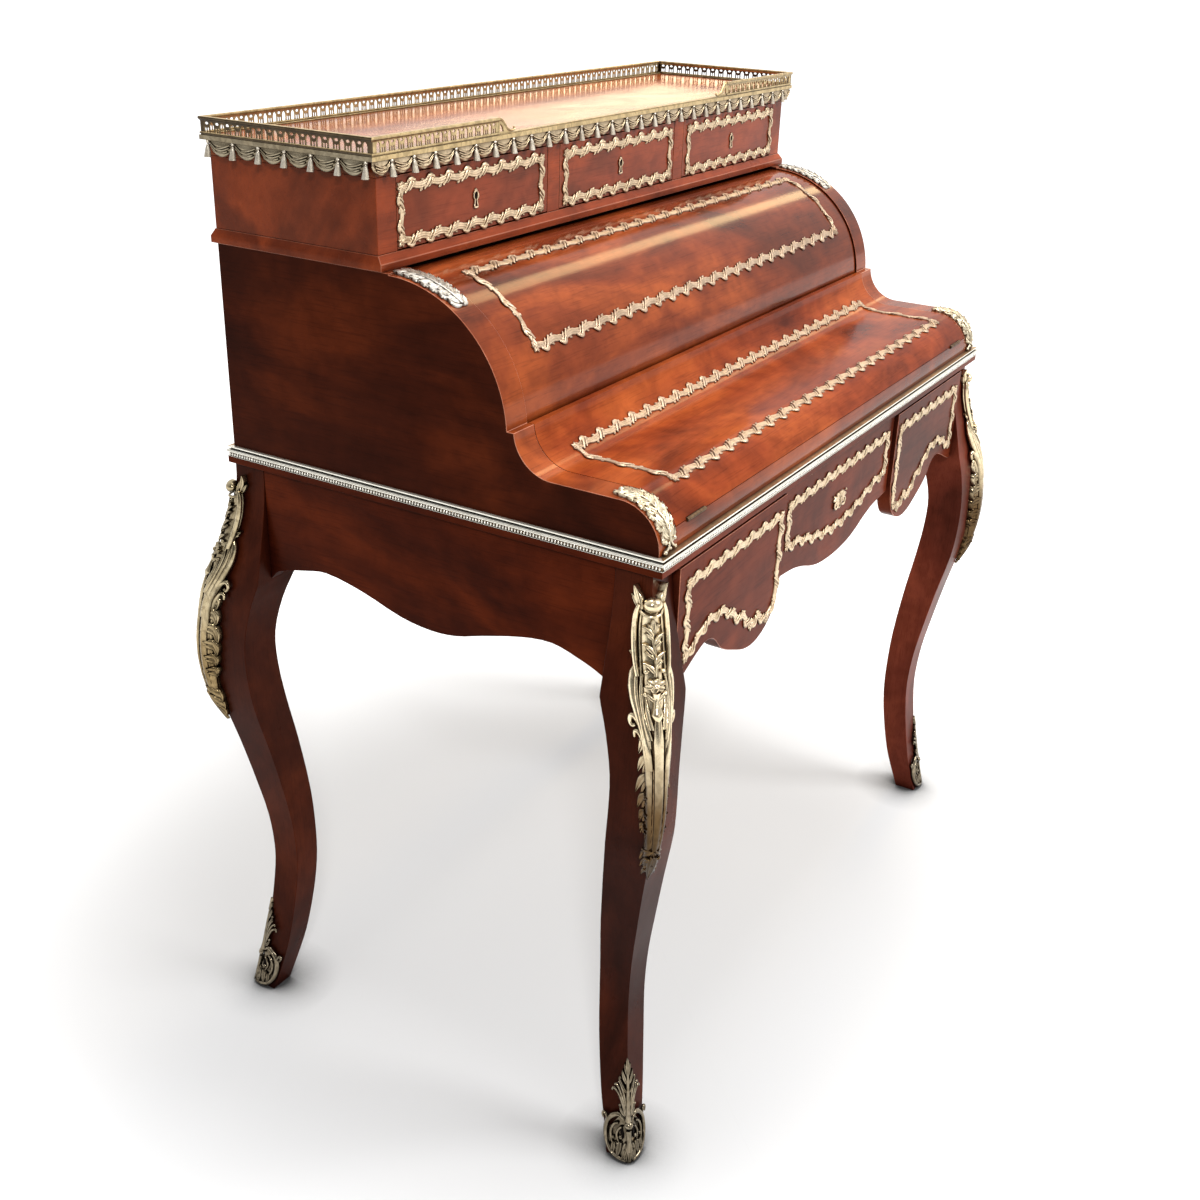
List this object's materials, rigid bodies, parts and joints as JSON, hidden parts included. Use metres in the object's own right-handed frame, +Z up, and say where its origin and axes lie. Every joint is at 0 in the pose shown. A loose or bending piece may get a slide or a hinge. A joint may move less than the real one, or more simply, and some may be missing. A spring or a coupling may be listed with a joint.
{
  "type": "cylinder roll top desk",
  "caption": "Louis XV style cylinder desk: cabriole table with shaped drawers, curved lid over an ogee fall, and a drawer case under a brass gallery.",
  "frame": {"origin": "floor level under the middle of the desk's bounding box", "axes": "+Z up, +X to the sitter's right, -Y out of the front, towards the sitter"},
  "size_m": [1.069, 0.655, 1.1414],
  "materials": {
    "mahogany": "french polished mahogany veneer",
    "oak": "plain waxed oak",
    "ormolu": "pale gilt cast brass with dark recesses",
    "pale_ormolu": "bright worn gilt brass",
    "hinge_brass": "plain brass",
    "steel": "turned steel",
    "leather": "green desk leather"
  },
  "bodies": {
    "case": {"leg_front_left": "mahogany", "leg_front_right": "mahogany", "leg_back_left": "mahogany", "leg_back_right": "mahogany", "side_aprons": "mahogany", "back_apron": "oak", "drawer_bearers": "oak", "partitions": "oak", "table_board": "mahogany", "table_moulding": "pale_ormolu", "cheek_left": "mahogany", "cheek_right": "mahogany", "back_panel": "oak", "bed_board": "mahogany", "bed_leather": "leather", "pigeonholes": "mahogany", "base_moulding": "mahogany", "base_board": "oak", "upper_uprights": "mahogany", "upper_back": "oak", "top_board": "mahogany", "cornice": "ormolu", "lambrequin": "ormolu", "gallery": "ormolu", "cheek_mounts_upper": "pale_ormolu", "cheek_mounts_lower": "ormolu", "chutes": "ormolu", "sabots": "ormolu", "pivot_pins": "steel", "bed_hinge_leaves": "hinge_brass"},
    "lid": {"lid_panel": "mahogany", "lid_arms": "oak", "lid_mount": "ormolu"},
    "fall": {"fall_panel": "mahogany", "fall_board": "mahogany", "fall_leather": "leather", "fall_mount": "ormolu", "fall_hinge_leaves": "hinge_brass"},
    "upper_left_drawer": {"upper_left_front": "mahogany", "upper_left_box": "oak", "upper_left_mount": "ormolu"},
    "upper_middle_drawer": {"upper_middle_front": "mahogany", "upper_middle_box": "oak", "upper_middle_mount": "ormolu"},
    "upper_right_drawer": {"upper_right_front": "mahogany", "upper_right_box": "oak", "upper_right_mount": "ormolu"},
    "lower_left_drawer": {"lower_left_front": "mahogany", "lower_left_box": "oak", "lower_left_mount": "ormolu"},
    "lower_middle_drawer": {"lower_middle_front": "mahogany", "lower_middle_box": "oak", "lower_middle_mount": "ormolu"},
    "lower_right_drawer": {"lower_right_front": "mahogany", "lower_right_box": "oak", "lower_right_mount": "ormolu"},
    "inner_left_drawer": {"inner_drawer_left": "oak"},
    "inner_right_drawer": {"inner_drawer_right": "oak"}
  },
  "joints": [
    {"name": "lid_roll", "type": "hinge", "parent": "case", "child": "lid", "pos_m": [0, 0.0427, 0.861], "axis": [-1, 0, 0], "range_deg": [0, 80]},
    {"name": "fall_open", "type": "hinge", "parent": "case", "child": "fall", "pos_m": [0, -0.28129, 0.7973], "axis": [1, 0, 0], "range_deg": [0, 180]},
    {"name": "upper_left_slide", "type": "slide", "parent": "case", "child": "upper_left_drawer", "axis": [0, -1, 0], "range_m": [0, 0.15]},
    {"name": "upper_middle_slide", "type": "slide", "parent": "case", "child": "upper_middle_drawer", "axis": [0, -1, 0], "range_m": [0, 0.15]},
    {"name": "upper_right_slide", "type": "slide", "parent": "case", "child": "upper_right_drawer", "axis": [0, -1, 0], "range_m": [0, 0.15]},
    {"name": "lower_left_slide", "type": "slide", "parent": "case", "child": "lower_left_drawer", "axis": [0, -1, 0], "range_m": [0, 0.3]},
    {"name": "lower_middle_slide", "type": "slide", "parent": "case", "child": "lower_middle_drawer", "axis": [0, -1, 0], "range_m": [0, 0.3]},
    {"name": "lower_right_slide", "type": "slide", "parent": "case", "child": "lower_right_drawer", "axis": [0, -1, 0], "range_m": [0, 0.3]},
    {"name": "inner_left_slide", "type": "slide", "parent": "case", "child": "inner_left_drawer", "axis": [0, -1, 0], "range_m": [0, 0.085]},
    {"name": "inner_right_slide", "type": "slide", "parent": "case", "child": "inner_right_drawer", "axis": [0, -1, 0], "range_m": [0, 0.085]}
  ]
}
